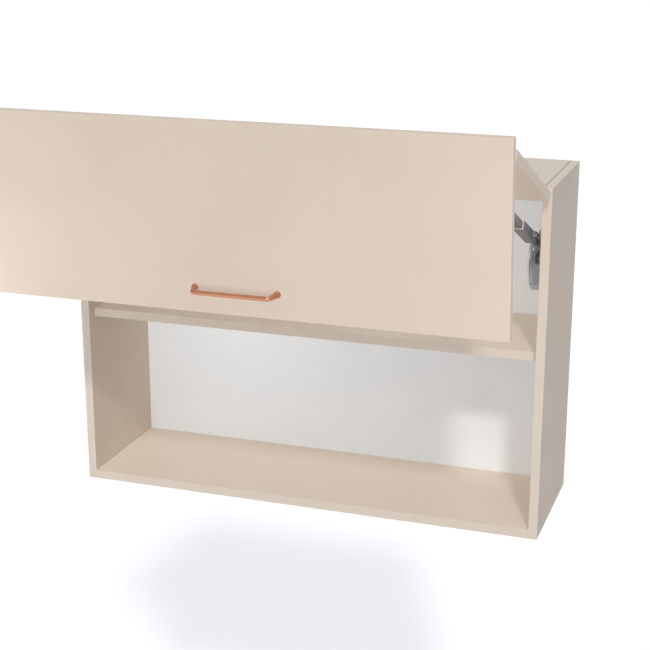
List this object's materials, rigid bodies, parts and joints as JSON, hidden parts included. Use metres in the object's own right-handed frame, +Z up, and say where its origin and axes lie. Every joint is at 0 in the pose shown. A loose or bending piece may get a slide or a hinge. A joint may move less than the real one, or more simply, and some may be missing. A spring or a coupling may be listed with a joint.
{
  "type": "lift-up wall cabinet",
  "caption": "Wall cabinet with a shelf, closed by a door of two hinged leaves that sprung side lifts swing up and fold above the opening.",
  "frame": {"origin": "on the wall plane behind the carcass, at the middle of the width and level with the underside of the cabinet", "axes": "+X to the right seen from the front, +Y towards the wall, +Z up"},
  "size_m": [1, 0.6723, 0.8693],
  "materials": {
    "carcass_board": "matt cashmere-coloured board",
    "edge_band": "matt edge band",
    "back_board": "white coated board",
    "door_board": "matt cashmere-coloured lacquered board",
    "copper": "satin copper plating",
    "dowel_wood": "plain beech",
    "white_plastic": "moulded white plastic",
    "hinge_steel": "nickel-plated steel",
    "screw_steel": "zinc-plated steel",
    "lift_cover_grey": "moulded grey plastic",
    "lift_steel": "grey coated steel",
    "spring_steel": "oiled spring wire",
    "arm_grey": "dark grey coated steel",
    "rail_steel": "bright zinc-plated steel",
    "dark_plastic": "dark grey glass-filled plastic"
  },
  "bodies": {
    "cabinet": {"left_side": "carcass_board", "right_side": "carcass_board", "top_panel": "carcass_board", "bottom_panel": "carcass_board", "back_panel": "back_board", "shelf": "carcass_board", "side_edge_bands": "edge_band", "board_edge_bands": "edge_band", "corner_dowels": "dowel_wood", "shelf_supports": "hinge_steel", "hanger_bodies": "white_plastic", "hanger_hooks": "hinge_steel", "top_hinge_arms": "hinge_steel", "top_hinge_pins": "hinge_steel", "top_hinge_screws": "screw_steel", "left_lift_plate": "lift_steel", "right_lift_plate": "lift_steel", "left_lift_cover": "lift_cover_grey", "right_lift_cover": "lift_cover_grey", "lift_pivot_pins": "hinge_steel", "lift_screws": "screw_steel", "spring_seats": "lift_steel", "lift_force_screws": "screw_steel"},
    "upper_leaf": {"upper_leaf": "door_board", "top_hinge_cups": "hinge_steel", "top_cup_pins": "hinge_steel", "top_cup_screws": "screw_steel", "centre_hinge_arms": "hinge_steel", "centre_hinge_pins": "hinge_steel", "centre_hinge_screws": "screw_steel"},
    "lower_leaf": {"lower_leaf": "door_board", "centre_hinge_cups": "hinge_steel", "centre_cup_pins": "hinge_steel", "centre_cup_screws": "screw_steel", "handle": "copper", "handle_screws": "screw_steel", "arm_brackets": "hinge_steel", "arm_bracket_pins": "hinge_steel", "arm_bracket_screws": "screw_steel"},
    "top_links": {"top_hinge_links": "hinge_steel"},
    "centre_links": {"centre_hinge_links": "hinge_steel"},
    "left_arm": {"left_lift_lever": "lift_steel", "left_arm_channel": "arm_grey", "left_arm_rivets": "screw_steel", "left_arm_rail": "rail_steel", "left_arm_end": "dark_plastic"},
    "right_arm": {"right_lift_lever": "lift_steel", "right_arm_channel": "arm_grey", "right_arm_rivets": "screw_steel", "right_arm_rail": "rail_steel", "right_arm_end": "dark_plastic"},
    "left_slide": {"left_lift_slide": "lift_steel", "left_lift_springs": "spring_steel"},
    "right_slide": {"right_lift_slide": "lift_steel", "right_lift_springs": "spring_steel"},
    "left_roller": {"left_cam_roller": "hinge_steel"},
    "right_roller": {"right_cam_roller": "hinge_steel"}
  },
  "joints": [
    {"name": "door_lift", "type": "hinge", "parent": "cabinet", "child": "upper_leaf", "pos_m": [0, -0.315, 0.7074], "axis": [1, 0, 0], "range_deg": [0, 112.5]},
    {"name": "leaf_fold", "type": "hinge", "parent": "upper_leaf", "child": "lower_leaf", "pos_m": [0, -0.65851, 0.84861], "axis": [1, 0, 0], "range_deg": [-117.4, 0.1]},
    {"name": "lift_arm_left", "type": "hinge", "parent": "cabinet", "child": "left_arm", "pos_m": [-0.468, -0.267, 0.5909], "axis": [1, 0, 0], "range_deg": [-0.1, 112.62]},
    {"name": "lift_arm_right", "type": "hinge", "parent": "cabinet", "child": "right_arm", "pos_m": [0.468, -0.267, 0.5909], "axis": [1, 0, 0], "range_deg": [-0.1, 112.62]},
    {"name": "lift_slide_left", "type": "slide", "parent": "cabinet", "child": "left_slide", "axis": [0, 0.8829, -0.4695], "range_m": [-0.0001, 0.0131], "deforming": ["left_lift_springs"]},
    {"name": "lift_slide_right", "type": "slide", "parent": "cabinet", "child": "right_slide", "axis": [0, 0.8829, -0.4695], "range_m": [-0.0001, 0.0131], "deforming": ["right_lift_springs"]},
    {"name": "cam_roller_left", "type": "hinge", "parent": "left_slide", "child": "left_roller", "pos_m": [-0.468, -0.24846, 0.58104], "axis": [1, 0, 0], "range_deg": [-400, 1]},
    {"name": "cam_roller_right", "type": "hinge", "parent": "right_slide", "child": "right_roller", "pos_m": [0.468, -0.24846, 0.58104], "axis": [1, 0, 0], "range_deg": [-400, 1]},
    {"name": "top_hinge_links_turn", "type": "hinge", "parent": "upper_leaf", "child": "top_links", "pos_m": [0, -0.31766, 0.70255], "axis": [1, 0, 0], "range_deg": [-127.2, 0.1]},
    {"name": "centre_hinge_links_turn", "type": "hinge", "parent": "lower_leaf", "child": "centre_links", "pos_m": [0, -0.65355, 0.84932], "axis": [1, 0, 0], "range_deg": [-0.1, 131.7]}
  ],
  "couplings": [
    {"joint": "leaf_fold", "follows": "door_lift", "ratio": -1.0427},
    {"joint": "lift_arm_left", "follows": "door_lift", "ratio": 1.0002},
    {"joint": "lift_arm_right", "follows": "door_lift", "ratio": 1.0002},
    {"joint": "lift_slide_left", "follows": "door_lift", "m_per_rad": 0.006621},
    {"joint": "lift_slide_right", "follows": "door_lift", "m_per_rad": 0.006621},
    {"joint": "cam_roller_left", "follows": "door_lift", "ratio": -3.5},
    {"joint": "cam_roller_right", "follows": "door_lift", "ratio": -3.5},
    {"joint": "top_hinge_links_turn", "follows": "door_lift", "ratio": -1.1298},
    {"joint": "centre_hinge_links_turn", "follows": "door_lift", "ratio": 1.1698}
  ]
}
